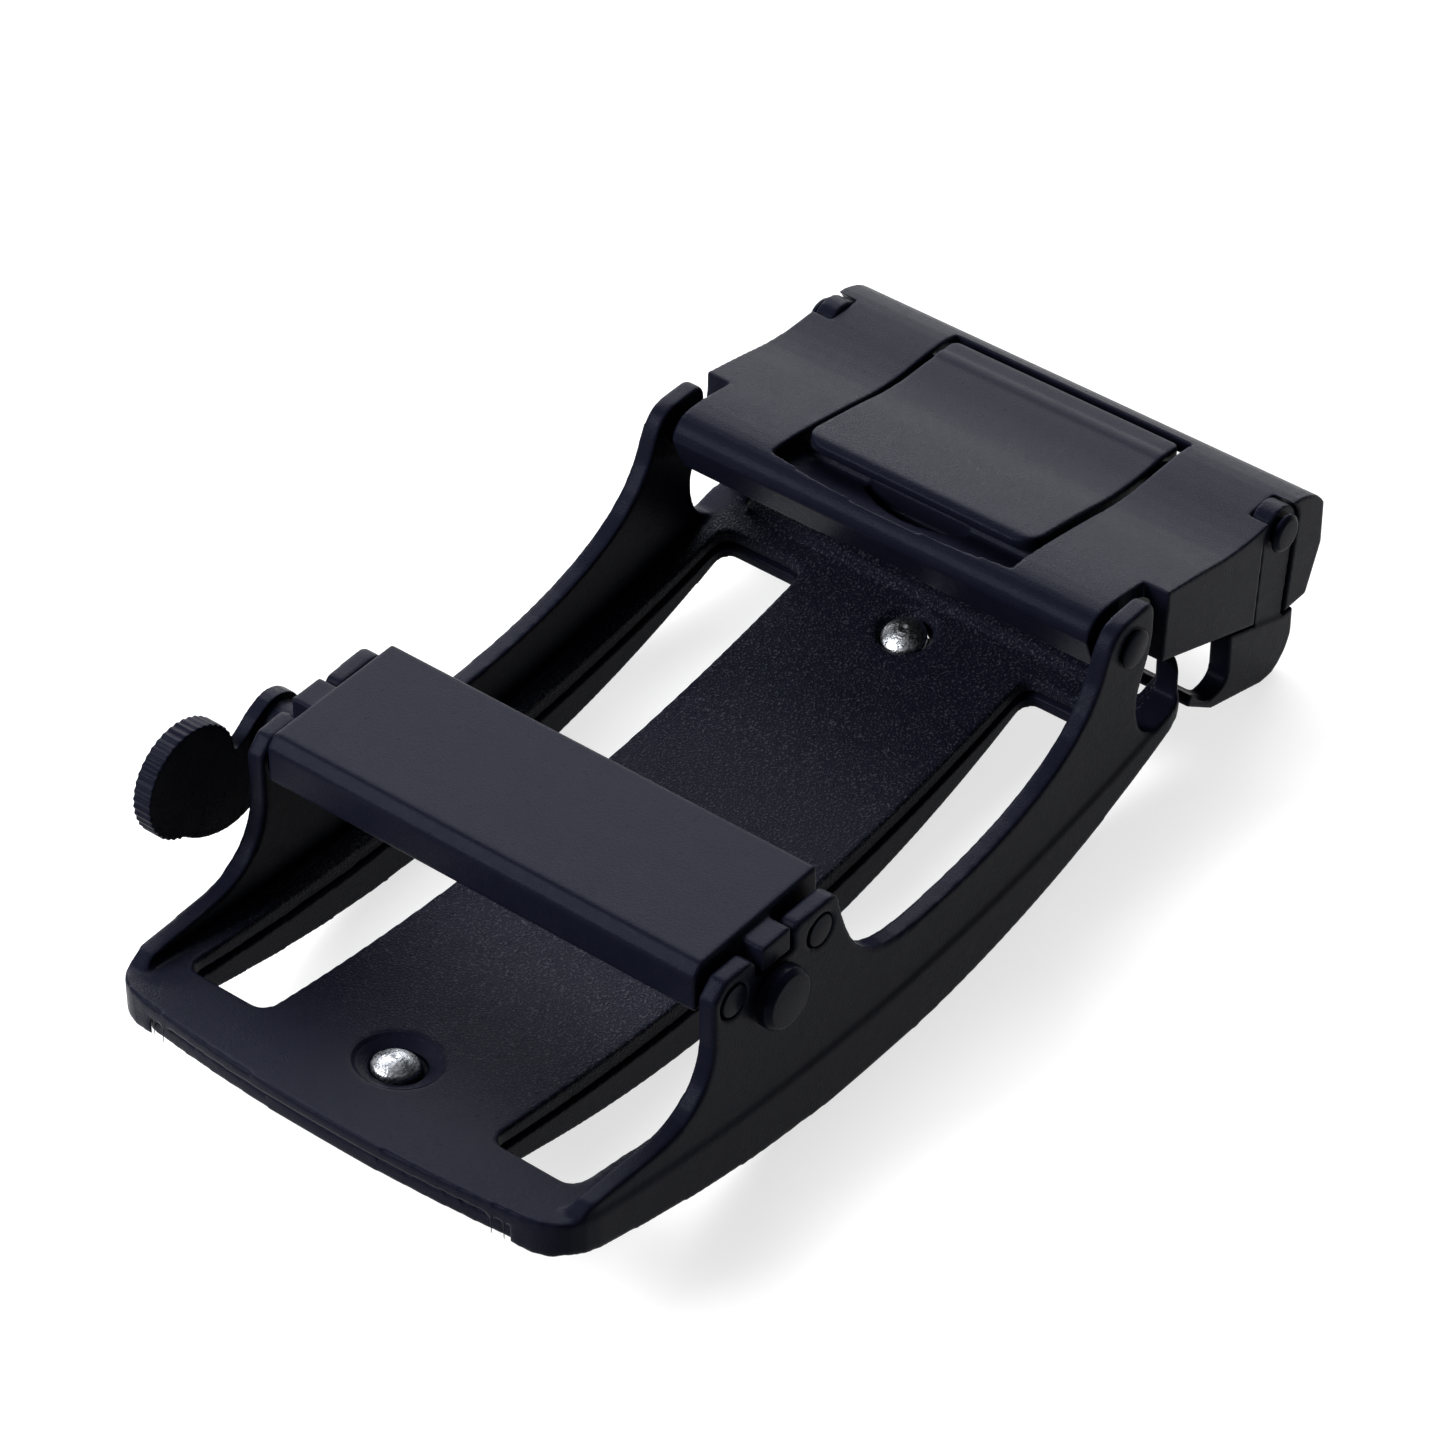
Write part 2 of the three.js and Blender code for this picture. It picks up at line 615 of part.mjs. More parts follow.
// Plate on the shaft's end with a thicker, knurled thumb disc
function leverBody() {
  const yFrom = leverInnerY;
  const yTo = leverInnerY + leverThickness;
  const discX = shaftX - discOffsetX;
  const discZ = shaftZ + discOffsetZ;
  const rim = Array.from({ length: knurlTeeth * 2 }, (_, i) => {
    const angle = (i * Math.PI) / knurlTeeth;
    const radius = discRadius - (i % 2) * knurlDepth;
    return [discX + radius * Math.cos(angle), discZ + radius * Math.sin(angle)];
  });
  const disc = acrossY(polygon(rim), yFrom, leverInnerY + discThickness);
  const outline = new THREE.SplineCurve(leverOutlineShares.concat([leverOutlineShares[0]]).map(([along, up]) =>
    new THREE.Vector2(shaftX + along * discRadius, shaftZ + up * discRadius)));
  const plate = acrossY(polygon(outline.getPoints(arcSteps * 2).slice(0, -1).map((p) => [p.x, p.y])),
    yFrom, yTo);
  const hub = rod(shaftX, shaftZ, hubRadius, yFrom, yTo);
  const bossFrom = sideAt(shaftX) - wallInset + runGap;
  const boss = rod(shaftX, shaftZ, bossRadius, bossFrom, yFrom + leverThickness / 2);
  const bore = rod(shaftX, shaftZ, shaftRadius + boreGap, bossFrom - overrun, yTo + overrun);
  return union([disc, plate, hub, boss]).subtract(bore);
}

// Pin that the clamp swivels on, in one far ear and one boss of the cover
function swivelPinBody(side) {
  const outer = sideAt(swivelX) - wallInset;
  const headFrom = outer + fitGap / 2;
  const headTo = headFrom + swivelPinHeadRise;
  const inner = headTo - swivelPinLength;
  const profile = [[0, inner], [swivelPinRadius, inner], [swivelPinRadius, headFrom],
    [swivelPinHeadRadius, headFrom],
    [swivelPinHeadRadius, headTo - swivelPinHeadRise * 0.4], [swivelPinHeadRadius * 0.8, headTo], [0, headTo]];
  if (side > 0) {
    return turnedAcross(profile, swivelX, swivelZ);
  }
  return turnedAcross(profile.map(([r, y]) => [r, -y]).reverse(), swivelX, swivelZ);
}

// Cover's top line, a shallow wave in shares of its length and of its rise over the swivel pin
const coverTopShares = [[0, 0.3], [0.012, 0.62], [0.045, 0.9], [0.1, 0.98], [0.2, 0.86], [0.3, 0.68],
  [0.42, 0.44],
  [0.53, 0.2], [0.64, 0.1], [0.76, 0.12], [0.86, 0.08], [0.925, -0.12], [0.97, -0.42], [1, -0.8]];

function coverTopLine(steps) {
  const points = coverTopShares.map(([along, up]) =>
    new THREE.Vector2(coverNearX + along * coverLength, swivelZ + up * coverRise));
  return new THREE.SplineCurve(points).getPoints(steps).map((p) => [p.x, p.y]);
}

// Height of the top line at x
function coverTopAt(x) {
  const line = coverTopLine(arcSteps * 4);
  const i = Math.max(1, line.findIndex(([px]) => px >= x));
  const [ax, az] = line[i - 1];
  const [bx, bz] = line[i];
  return az + ((bz - az) * (x - ax)) / (bx - ax);
}

// The seam between cover and base runs straight down towards the far end
function seamAt(x) {
  const slope = (seamFarZ - coverNearBottomZ) / (seamFarX - coverNearBottomX);
  return coverNearBottomZ + slope * (x - coverNearBottomX);
}

const coverFarX = coverNearX + coverLength;

function coverOutline() {
  const top = coverTopLine(arcSteps);
  const chamferTop = seamFarZ + (swivelZ - seamFarZ) * 0.4;
  return polygon([[coverNearBottomX, coverNearBottomZ], [seamFarX, seamFarZ], [coverChamferX, seamFarZ],
    [coverFarX, chamferTop], ...top.reverse()]);
}

// Room for an ear strip of the base, open at the seam and domed over the cam pin
function stripRoom(gap) {
  const lean = (camPinZ - seamFarZ) * 0.16;
  const half = earStripHalf + gap;
  const lowX = camPinX - lean;
  const low = seamFarZ - overrun;
  const shape = new THREE.Shape();
  shape.moveTo(lowX - half, low);
  shape.lineTo(lowX + half, low);
  shape.lineTo(camPinX + earStripRadius + gap, camPinZ);
  shape.absarc(camPinX, camPinZ, earStripRadius + gap, 0, Math.PI, false);
  return shape;
}

function coverBody() {
  const shell = acrossY(coverOutline(), -coverHalfWidth, coverHalfWidth);
  const innerHalf = coverHalfWidth - coverWall;
  const cavityNear = coverNearX + coverWall;
  const bossHalf = sideAt(swivelX) - swivelPinLength;
  const innerTop = coverTopLine(arcSteps)
    .filter(([x]) => x > cavityNear && x < coverFarX)
    .map(([x, z]) => [x, z - coverTopThickness]);
  const mouthZ = innerTop[innerTop.length - 1][1];
  const startZ = coverTopAt(cavityNear) - coverTopThickness;
  const cavityShape = polygon([[cavityNear, -overrun], [coverFarX + overrun, -overrun],
    [coverFarX + overrun, mouthZ], ...innerTop.reverse(), [cavityNear, startZ]]);
  const wide = acrossY(cavityShape, -innerHalf, innerHalf)
    .intersect(box(bossFarX, coverFarX + overrun * 2, -innerHalf, innerHalf, -overrun, swivelZ + overrun));
  const narrow = acrossY(cavityShape, -bossHalf, bossHalf);
  const windowFarX = coverFarX - farStripWidth;
  const lip = new THREE.Shape();
  lip.moveTo(windowFarX, windowHalf);
  lip.lineTo(windowNearX, windowHalf);
  lip.quadraticCurveTo(windowNearX - windowBow * 2, 0, windowNearX, -windowHalf);
  lip.lineTo(windowFarX, -windowHalf);
  const windowRoom = upZ(lip, camPinZ - overrun, swivelZ + overrun);
  const earShape = polygon([[coverNearX - overrun, -overrun], [coverSideStartX - runGap, -overrun],
    [coverSideStartX - runGap, coverNearBottomZ - coverWall], [coverSideStartX + runGap, swivelZ + overrun],
    [coverNearX - overrun, swivelZ + overrun]]);
  const earRooms = bothSides((side) => sideAcross(side, earShape, coverNeckHalf, frameHalfWidth + overrun));
  const stripRooms = bothSides((side) => sideAcross(side, stripRoom(fitGap), innerHalf - fitGap,
    frameHalfWidth + overrun));
  const lugRoom = bothSides((side) => sideAcross(side, stripRoom(fitGap), innerHalf - overrun,
    innerHalf + overrun)
    .intersect(sideBox(side, 0, coverFarX, innerHalf - overrun, innerHalf + overrun, -overrun,
    camPinZ - overrun)));
  return without(shell, [
    wide,
    narrow,
    windowRoom,
    earRooms,
    stripRooms,
    lugRoom,
    rod(camPinX, camPinZ, camPinRadius + boreGap, -coverHalfWidth - overrun, coverHalfWidth + overrun),
    rod(swivelX, swivelZ, swivelPinRadius + boreGap, -coverHalfWidth - overrun, coverHalfWidth + overrun),
  ]);
}

// One cheek: hook of the keeper loop, leg and ear strip, in side view
function cheekShape() {
  const top = seamAt(keeperLegX) - fitGap;
  const band = keeperBandThickness;
  const backX = keeperLowX + (camPinX + earStripRadius - keeperLowX) * 1.15;
  const shape = new THREE.Shape();
  shape.moveTo(keeperLegX, top);
  shape.lineTo(keeperLegX, keeperLegZ);
  shape.quadraticCurveTo(keeperLegX, keeperHollowZ, keeperHollowX, keeperHollowZ);
  shape.quadraticCurveTo(keeperHollowX - band, keeperHollowZ, keeperTipX + band * 0.8, keeperTipZ + band * 0.6);
  shape.quadraticCurveTo(keeperTipX + band * 0.1, keeperTipZ + band * 1.2, keeperTipX, keeperTipZ);
  shape.lineTo(keeperHollowX, keeperHollowZ - band);
  shape.lineTo(keeperLowX - earStripHalf * 0.4, keeperLowZ + band * 0.15);
  shape.quadraticCurveTo(keeperLowX, keeperLowZ, keeperLowX + earStripHalf * 0.6,
    keeperLowZ + earStripHalf * 0.1);
  shape.quadraticCurveTo(backX - earStripHalf * 0.2, keeperLowZ + earStripHalf * 0.6, backX,
    keeperLowZ + earStripHalf * 1.7);
  shape.lineTo(backX, seamFarZ - fitGap);
  shape.lineTo(seamFarX, seamFarZ - fitGap);
  shape.closePath();
  return shape;
}

function baseBody() {
  const innerHalf = coverHalfWidth - coverWall - fitGap;
  const plateShape = polygon([[basePlateNearX, seamAt(basePlateNearX)], [basePlateFarX, seamAt(basePlateFarX)],
    [basePlateFarX, seamAt(basePlateFarX) + basePlateThickness],
    [basePlateNearX, seamAt(basePlateNearX) + basePlateThickness]]);
  const plate = acrossY(plateShape, -innerHalf, innerHalf);
  const cheekInner = coverHalfWidth - cheekThickness;
  const cheeks = bothSides((side) => sideAcross(side, cheekShape(), cheekInner, coverHalfWidth));
  const strips = bothSides((side) => sideAcross(side, stripRoom(0), cheekInner, coverHalfWidth - cheekInset)
    .subtract(sideBox(side, 0, coverFarX, 0, frameHalfWidth + overrun, -overrun * 2, seamFarZ - fitGap * 2)));
  const lugHalf = coverHalfWidth - cheekInset;
  const lug = acrossY(stripRoom(0), -lugHalf, lugHalf).intersect(acrossY(plateShape, -lugHalf, lugHalf));
  const barReach = cheekInner + fitGap;
  const crossbar = acrossY(cheekShape(), -barReach, barReach)
    .intersect(box(keeperTipX - runGap, keeperBarFarX, -barReach, barReach, keeperLowZ, seamFarZ));
  const body = union([plate, cheeks, strips, lug, crossbar]);
  return body.subtract(rod(camPinX, camPinZ, camPinRadius + boreGap, -coverHalfWidth - overrun,
    coverHalfWidth + overrun));
}

function camPinBody() {
  const inner = coverHalfWidth + fitGap / 2;
  const outer = inner + camPinHeadThickness;
  const r = camPinHeadRadius;
  return turnedAcross([[0, -outer], [r * 0.8, -outer], [r, -outer + camPinHeadThickness * 0.5], [r, -inner],
    [camPinRadius, -inner], [camPinRadius, inner], [r, inner], [r, outer - camPinHeadThickness * 0.5],
    [r * 0.8, outer], [0, outer]], camPinX, camPinZ);
}

// Paddle that follows the cover's wave, on a barrel with a toothed cam below
function camLeverBody() {
  const farX = camPinX + paddleFarReach;
  const steps = Array.from({ length: arcSteps + 1 }, (_, i) =>
    paddleNearX + ((farX - paddleNearX) * i) / arcSteps);
  const ease = (x) => paddleProud * Math.min(1, Math.max(0, (camPinX - x) / (camPinX - paddleNearX)) * 2);
  const upper = steps.map((x) => [x, coverTopAt(x) + ease(x)]);
  const lower = steps.map((x) => [x, coverTopAt(x) + ease(x) - paddleThickness]).reverse();
  upper[0][1] -= paddleThickness * 0.3;
  lower[lower.length - 1][1] += paddleThickness * 0.25;
  const plan = rounded([[paddleNearX, -paddleHalf, paddleCorner], [farX, -paddleHalf, paddleCorner],
    [farX, paddleHalf, paddleCorner], [paddleNearX, paddleHalf, paddleCorner]]);
  const plate = acrossY(polygon(upper.concat(lower)), -paddleHalf, paddleHalf)
    .intersect(upZ(plan, 0, camPinZ * 2));
  const sweep = acrossY(polygon(Array.from({ length: roundSides }, (_, i) => {
    const a = (i * 2 * Math.PI) / roundSides;
    return [camPinX + (paddleFarReach + fitGap) * Math.cos(a),
      camPinZ + (paddleFarReach + fitGap) * Math.sin(a)];
  })), -paddleHalf, paddleHalf);
  const nearPart = box(0, camPinX, -overrun * 4, overrun * 4, 0, swivelZ + overrun);
  const shaped = plate.intersect(sweep.add(nearPart));
  const barrel = rod(camPinX, camPinZ, camBarrelRadius, -paddleHalf, paddleHalf);
  const pitch = (camBarrelRadius * 2) / camToothCount;
  const teeth = [[camPinX - camBarrelRadius, camPinZ]];
  for (let i = 0; i < camToothCount; i += 1) {
    const x = camPinX - camBarrelRadius + i * pitch;
    teeth.push([x, camPinZ - camReach], [x + pitch, camPinZ - camReach + camToothDepth]);
  }
  teeth.push([camPinX + camBarrelRadius, camPinZ]);
  const cam = acrossY(polygon(teeth), -paddleHalf, paddleHalf);
  const bore = rod(camPinX, camPinZ, camPinRadius + boreGap, -paddleHalf - overrun, paddleHalf + overrun);
  return union([shaped, barrel, cam]).subtract(bore);
}

// Materials: black coated zinc, plain steel, bare peened zinc
const coat = new THREE.MeshStandardMaterial({ color: 0x17181d, roughness: 0.42, metalness: 0.35 });
const darkSteel = new THREE.MeshStandardMaterial({ color: 0x1c1d21, roughness: 0.35, metalness: 0.6 });
const bareZinc = new THREE.MeshStandardMaterial({ color: 0xb9bec2, roughness: 0.25, metalness: 1 });
const springSteel = new THREE.MeshStandardMaterial({ color: 0x8d9094, roughness: 0.3, metalness: 1 });

const buckle = new THREE.Group();

function place(name, body, material) {
  const mesh = new THREE.Mesh(geometryOf(body), material);
  mesh.name = name;
  buckle.add(mesh);
}

place('frame', frameBody(), coat);
place('face_plate', facePlateBody(), coat);
place('face_rivet_near', rivetBody(-rivetNearReach), bareZinc);
place('face_rivet_far', rivetBody(rivetFarReach), bareZinc);
place('lock_bridge', bridgeBody(), coat);
place('bridge_pin_near', lockPinBody(nearPinX), darkSteel);
place('bridge_pin_far', lockPinBody(farPinX), darkSteel);
place('lock_pawl', pawlBody(), darkSteel);
place('pawl_spring', springBody(), springSteel);
place('release_shaft', shaftBody(), darkSteel);
place('release_lever', leverBody(), coat);
place('swivel_pin_left', swivelPinBody(1), darkSteel);
place('swivel_pin_right', swivelPinBody(-1), darkSteel);
place('clamp_cover', coverBody(), coat);
place('clamp_base', baseBody(), coat);
place('cam_pin', camPinBody(), darkSteel);
place('cam_lever', camLeverBody(), coat);

// The buckle rocks back on its arc until the keeper loop meets the ground
const toLow = Math.hypot(keeperLowX, frontArcRadius - keeperLowZ);
const settleAngle = Math.atan2(keeperLowX, frontArcRadius - keeperLowZ) - Math.acos(frontArcRadius / toLow);
buckle.rotation.y = settleAngle;

const part = new THREE.Group();
part.add(buckle);
part.updateMatrixWorld(true);
const bounds = new THREE.Box3().setFromObject(part, true);
const middle = bounds.getCenter(new THREE.Vector3());
part.position.set(-middle.x, -middle.y, -bounds.min.z);

export default part;
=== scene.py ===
import json
import math

import bmesh
import bpy
import numpy
from mathutils import Matrix, Vector

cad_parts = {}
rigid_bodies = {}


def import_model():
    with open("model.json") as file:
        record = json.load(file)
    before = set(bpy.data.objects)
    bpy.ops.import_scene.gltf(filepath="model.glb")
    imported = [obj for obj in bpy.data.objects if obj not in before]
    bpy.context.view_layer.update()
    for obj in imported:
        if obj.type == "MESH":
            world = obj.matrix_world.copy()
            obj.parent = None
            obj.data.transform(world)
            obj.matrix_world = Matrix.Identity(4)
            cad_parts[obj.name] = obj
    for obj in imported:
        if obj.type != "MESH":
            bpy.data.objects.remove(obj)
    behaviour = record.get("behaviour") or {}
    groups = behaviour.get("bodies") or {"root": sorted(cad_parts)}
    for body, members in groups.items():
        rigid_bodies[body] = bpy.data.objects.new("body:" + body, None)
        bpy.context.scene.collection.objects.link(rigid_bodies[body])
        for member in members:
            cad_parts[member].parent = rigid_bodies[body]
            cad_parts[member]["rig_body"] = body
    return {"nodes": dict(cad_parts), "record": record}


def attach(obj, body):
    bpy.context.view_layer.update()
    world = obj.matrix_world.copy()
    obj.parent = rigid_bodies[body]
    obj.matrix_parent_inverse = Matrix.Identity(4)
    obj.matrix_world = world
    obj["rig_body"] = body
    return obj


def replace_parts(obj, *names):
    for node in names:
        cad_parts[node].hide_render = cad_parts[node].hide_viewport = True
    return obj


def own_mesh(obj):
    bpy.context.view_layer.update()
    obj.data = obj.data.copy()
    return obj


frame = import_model()
bpy.context.scene.view_settings.view_transform = "Standard"
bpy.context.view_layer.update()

MM = 0.001

# The part's own axes lie tilted on the table: its bar's flat top gives the tilt and the shift
BAR_TOP_MIDDLE = Vector((-9.1, 0, 18.6)) * MM
bar_top = frame["record"]["mounts"][0]
TILT = Matrix.Rotation(math.atan2(bar_top["axis"][0], bar_top["axis"][2]), 4, "Y")
PLACE = Matrix.Translation(Vector(bar_top["pos_m"]) - TILT @ BAR_TOP_MIDDLE) @ TILT

# Camera, as fitted to the photograph, from the part's own axes
LOOK_AT = Vector((11.0, 1.31, 10.9)) * MM
CAMERA_DISTANCE = 400 * MM
CAMERA_AZIMUTH = math.radians(-51.5)
CAMERA_ELEVATION = math.radians(40.3)
CAMERA_LENS = 149.48
SENSOR_WIDTH = 36

# Finish of each casting: grid size in millimetres, rounds of edge smoothing, and share of the faces kept
FINISH = {
    "frame": (0.15, 6, 0.3),
    "face_plate": (0.12, 2, 0.3),
    "clamp_cover": (0.12, 4, 0.3),
    "clamp_base": (0.12, 3, 0.3),
    "lock_bridge": (0.12, 7, 0.25),
    "cam_lever": (0.12, 8, 0.4),
    "release_lever": (0.08, 2, 0.5),
}
FAIRING = 8
WELD = 0.002

# Edge rounds of the turned and stamped pieces
PIN_EDGE, PIN_SEGMENTS = 0.28, 5
PAWL_EDGE, SPRING_EDGE = 0.1, 0.03


def make_camera():
    """Camera at the photograph's place and angle."""
    data = bpy.data.cameras.new("camera")
    data.lens = CAMERA_LENS
    data.sensor_width = SENSOR_WIDTH
    camera = bpy.data.objects.new("camera", data)
    bpy.context.scene.collection.objects.link(camera)
    level = math.cos(CAMERA_ELEVATION)
    away = Vector((math.sin(CAMERA_AZIMUTH) * level, -math.cos(CAMERA_AZIMUTH) * level, math.sin(CAMERA_ELEVATION)))
    aim = (-away).to_track_quat("-Z", "Y").to_matrix().to_4x4()
    camera.matrix_world = PLACE @ Matrix.Translation(LOOK_AT + away * CAMERA_DISTANCE) @ aim
    bpy.context.scene.camera = camera


# Nodes of the materials

def new_material(name):
    """Material with an empty Principled surface, and its node tree."""
    material = bpy.data.materials.new(name)
    material.use_nodes = True
    tree = material.node_tree
    return material, tree, tree.nodes["Principled BSDF"]


def object_place(tree):
    """Socket of the point's place on the object, in metres."""
    return tree.nodes.new("ShaderNodeTexCoord").outputs["Object"]


def noise(tree, place, grains_per_mm, detail=2.0, roughness=0.5):
    """Noise with that many grains to a millimetre."""
    node = tree.nodes.new("ShaderNodeTexNoise")
    node.inputs["Scale"].default_value = grains_per_mm / MM
    node.inputs["Detail"].default_value = detail
    node.inputs["Roughness"].default_value = roughness
    tree.links.new(place, node.inputs["Vector"])
    return node.outputs["Fac"]


def spread(tree, value, low, high, to_low=0.0, to_high=1.0):
    """The value from low to high, mapped to another range."""
    node = tree.nodes.new("ShaderNodeMapRange")
    node.inputs["From Min"].default_value = low
    node.inputs["From Max"].default_value = high
    node.inputs["To Min"].default_value = to_low
    node.inputs["To Max"].default_value = to_high
    tree.links.new(value, node.inputs["Value"])
    return node.outputs["Result"]


def bump(tree, height, depth_mm, surface, under=None):
    """Bump of that depth in millimetres, on the surface."""
    node = tree.nodes.new("ShaderNodeBump")
    node.inputs["Distance"].default_value = depth_mm * MM
    tree.links.new(height, node.inputs["Height"])
    if under is not None:
        tree.links.new(under, node.inputs["Normal"])
    tree.links.new(node.outputs["Normal"], surface.inputs["Normal"])
    return node.outputs["Normal"]


def two_tones(tree, share, dark, light, surface):
    """Base colour between two tones."""
    node = tree.nodes.new("ShaderNodeMix")
    node.data_type = "RGBA"
    node.inputs["A"].default_value = (*dark, 1)
    node.inputs["B"].default_value = (*light, 1)
    tree.links.new(share, node.inputs["Factor"])
    tree.links.new(node.outputs["Result"], surface.inputs["Base Color"])


def coat_material(name, grain_mm, grain_depth, rough):
    """Satin black coating over a casting: fine grain, soft mottling and a slightly uneven sheen."""
    material, tree, surface = new_material(name)
    place = object_place(tree)
    mottle = noise(tree, place, MOTTLE_GRAINS, 3)
    two_tones(tree, mottle, BLACK, BLACK_LIGHT, surface)
    uneven = noise(tree, place, SHEEN_GRAINS, 3)
    gloss = spread(tree, uneven, *NOISE_RANGE, rough - SHEEN_DOWN, rough + SHEEN_UP)
    tree.links.new(gloss, surface.inputs["Roughness"])
    surface.inputs["Specular IOR Level"].default_value = COAT_SPECULAR
    surface.inputs["Specular Tint"].default_value = COAT_SHEEN
    fine = bump(tree, noise(tree, place, 1 / grain_mm, 4, 0.6), grain_depth, surface)
    bump(tree, noise(tree, place, WAVE_GRAINS, 1), WAVE_DEPTH, surface, fine)
    return material


def inside(tree, value, edge, softness):
    """1 where the value's size is under the edge, fading to 0 over the softness."""
    size = tree.nodes.new("ShaderNodeMath")
    size.operation = "ABSOLUTE"
    tree.links.new(value, size.inputs[0])
    return spread(tree, size.outputs[0], edge - softness, edge + softness, 1, 0)


def product(tree, one, other):
    """Product of two values."""
    node = tree.nodes.new("ShaderNodeMath")
    node.operation = "MULTIPLY"
    tree.links.new(one, node.inputs[0])
    tree.links.new(other, node.inputs[1])
    return node.outputs[0]


def blasted_material(name):
    """Coat of the frame: satin outside, and blasted between its walls, with painted glints: lighter specks in the
    base colour on the sand grains.
    """
    material = coat_material(name, SATIN_GRAIN, SATIN_DEPTH, SATIN_ROUGH)
    tree = material.node_tree
    surface = tree.nodes["Principled BSDF"]
    place = object_place(tree)
    own = tree.nodes.new("ShaderNodeMapping")
    back = PLACE.inverted()
    own.inputs["Location"].default_value = back.translation
    own.inputs["Rotation"].default_value = back.to_euler()
    tree.links.new(place, own.inputs["Vector"])
    axes = tree.nodes.new("ShaderNodeSeparateXYZ")
    tree.links.new(own.outputs["Vector"], axes.inputs["Vector"])
    between = inside(tree, axes.outputs["Y"], SAND_HALF * MM, SAND_BLEND * MM)
    past = spread(tree, axes.outputs["X"], SAND_FROM * MM, SAND_FULL * MM)
    share = product(tree, between, past)
    grains = noise(tree, place, 1 / SAND_GRAIN, 2, 0.5)
    # Painted glints: the brightest sand grains become lighter specks in the base colour
    glint_specks = product(tree, spread(tree, grains, *GLINT_SPECK_RANGE), share)
    old_tone = surface.inputs["Base Color"].links[0].from_socket
    tone = tree.nodes.new("ShaderNodeMix")
    tone.data_type = "RGBA"
    tree.links.new(glint_specks, tone.inputs["Factor"])
    tree.links.new(old_tone, tone.inputs["A"])
    tone.inputs["B"].default_value = (*PAINTED_GLINT_TONE, 1)
    tree.links.new(tone.outputs["Result"], surface.inputs["Base Color"])
    under = surface.inputs["Normal"].links[0].from_socket
    sand = tree.nodes.new("ShaderNodeBump")
    sand.inputs["Distance"].default_value = SAND_DEPTH * MM
    tree.links.new(share, sand.inputs["Strength"])
    tree.links.new(grains, sand.inputs["Height"])
    tree.links.new(under, sand.inputs["Normal"])
    tree.links.new(sand.outputs["Normal"], surface.inputs["Normal"])
    return material


def bare_metal(name, tone, rough):
    """Bright peened metal with a patchy tone, uneven polish and small dents."""
    material, tree, surface = new_material(name)
    place = object_place(tree)
    two_tones(tree, noise(tree, place, STAIN_GRAINS, 3), [part * STAIN_SHARE for part in tone], tone, surface)
    surface.inputs["Metallic"].default_value = 1
    uneven = noise(tree, place, POLISH_GRAINS, 3)
    gloss = spread(tree, uneven, *NOISE_RANGE, rough - POLISH_DOWN, rough + POLISH_UP)
    tree.links.new(gloss, surface.inputs["Roughness"])
    bump(tree, noise(tree, place, DENT_GRAINS, 4), DENT_DEPTH, surface)
    return material


# Coats: grains are counted to a millimetre, depths are in millimetres
NOISE_RANGE = (0.3, 0.7)
MOTTLE_GRAINS = 0.6
SHEEN_GRAINS, SHEEN_DOWN, SHEEN_UP = 1.7, 0.03, 0.04
WAVE_GRAINS, WAVE_DEPTH = 0.35, 0.02
BLACK = (0.0036, 0.0042, 0.0092)
BLACK_LIGHT = (0.0056, 0.0062, 0.0125)
COAT_SPECULAR = 0.024
COAT_SHEEN = (0.75, 0.8, 1.0, 1)
SATIN_GRAIN, SATIN_DEPTH, SATIN_ROUGH = 0.15, 0.03, 0.3
SAND_GRAIN, SAND_DEPTH = 0.16, 0.12
SAND_FROM, SAND_FULL, SAND_HALF, SAND_BLEND = -27, -14, 17.75, 0.1
# Painted glints on the sand: the grain values that turn into specks, and the specks' lighter painted tone
GLINT_SPECK_RANGE = (0.56, 0.66)
PAINTED_GLINT_TONE = (0.032, 0.034, 0.044)
PIN_GRAIN, PIN_DEPTH, PIN_ROUGH = 0.12, 0.004, 0.27

# Bare metals
STAIN_GRAINS, STAIN_SHARE = 4, 0.7
POLISH_GRAINS, POLISH_DOWN, POLISH_UP = 6, 0.1, 0.12
DENT_GRAINS, DENT_DEPTH = 5, 0.05
ZINC = (0.5, 0.52, 0.56)
STEEL = (0.5, 0.51, 0.53)
METAL_ROUGH = 0.3

satin = coat_material("satin_black_coat", SATIN_GRAIN, SATIN_DEPTH, SATIN_ROUGH)
sandy = blasted_material("cast_black_coat")
glossy_black = coat_material("pin_black", PIN_GRAIN, PIN_DEPTH, PIN_ROUGH)
bright = bare_metal("bare_zinc", ZINC, METAL_ROUGH)
spring_metal = bare_metal("spring_steel", STEEL, METAL_ROUGH)


# Pieces

def applied(piece):
    """Bakes the piece's modifiers into its mesh."""
    bpy.context.view_layer.update()
    done = piece.evaluated_get(bpy.context.evaluated_depsgraph_get())
    mesh = bpy.data.meshes.new_from_object(done)
    piece.modifiers.clear()
    old = piece.data
    piece.data = mesh
    bpy.data.meshes.remove(old)
    return piece


def copied(node, name):
    """New piece with the node's shape, welded, in millimetres from the part's own axes."""
    mesh = frame["nodes"][node].data.copy()
    mesh.materials.clear()
    mesh.transform(Matrix.Scale(1 / MM, 4) @ PLACE.inverted())
    work = bmesh.new()
    work.from_mesh(mesh)
    bmesh.ops.remove_doubles(work, verts=work.verts, dist=WELD)
    work.to_mesh(mesh)
    work.free()
    piece = bpy.data.objects.new(name, mesh)
    bpy.context.scene.collection.objects.link(piece)
    return piece


def placed(piece, node, material):
    """Back to its place in metres, with its material, riding on the node's body."""
    piece.data.transform(PLACE @ Matrix.Scale(MM, 4))
    piece.data.materials.clear()
    piece.data.materials.append(material)
    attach(piece, frame["nodes"][node]["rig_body"])
    return piece


def stands_for(piece, node, material):
    """Placed, and in the node's stead."""
    placed(piece, node, material)
    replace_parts(piece, node)
    return piece


